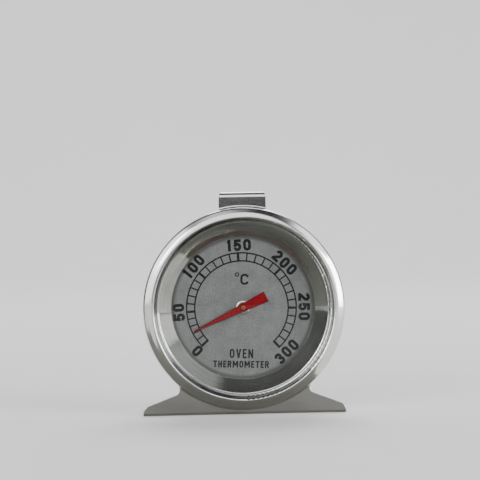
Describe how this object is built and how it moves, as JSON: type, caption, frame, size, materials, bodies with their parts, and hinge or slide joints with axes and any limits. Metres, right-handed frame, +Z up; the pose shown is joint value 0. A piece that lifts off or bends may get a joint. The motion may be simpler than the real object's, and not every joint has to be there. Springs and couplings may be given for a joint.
{
  "type": "oven thermometer",
  "caption": "Round bimetal oven thermometer with a glazed Celsius dial and red pointer in a stamped steel housing that stands on a folded foot or hangs by a hook.",
  "frame": {"origin": "under the foot, in the middle of the overall width and depth", "axes": "+Z up, the dial faces -Y, +X to the right as the dial is read"},
  "size_m": [0.0606, 0.038, 0.0663],
  "materials": {
    "housing_steel": "bright rolled stainless sheet",
    "case_steel": "satin drawn stainless sheet",
    "ring_steel": "polished",
    "lens_glass": "clear flat glass",
    "dial_face": "satin grey printed plate",
    "dial_print": "black screen-printed ink",
    "pointer_red": "red enamel",
    "brass": "turned",
    "bimetal": "rolled strip",
    "movement_steel": "zinc plated"
  },
  "bodies": {
    "case": {"front_housing": "housing_steel", "back_case": "case_steel", "lens": "lens_glass", "dial_ring": "ring_steel", "dial_plate": "dial_face", "dial_bushing": "brass", "bushing_washer": "movement_steel", "bimetal_coil": "bimetal", "movement_bridge": "movement_steel", "bridge_rivets": "movement_steel", "rear_bushing": "brass", "anchor_post": "brass", "coil_rivet": "movement_steel"},
    "indicator": {"pointer": "pointer_red", "pointer_collet": "pointer_red", "pointer_shaft": "brass", "coil_collet": "brass", "thrust_washer": "brass"}
  },
  "joints": [
    {"name": "pointer_turn", "type": "hinge", "parent": "case", "child": "indicator", "pos_m": [0, -0.0135, 0.0318], "axis": [0, 1, 0], "range_deg": [-18, 252], "stiffness_Nm_per_rad": 0.0001, "deforming": ["bimetal_coil"]}
  ]
}
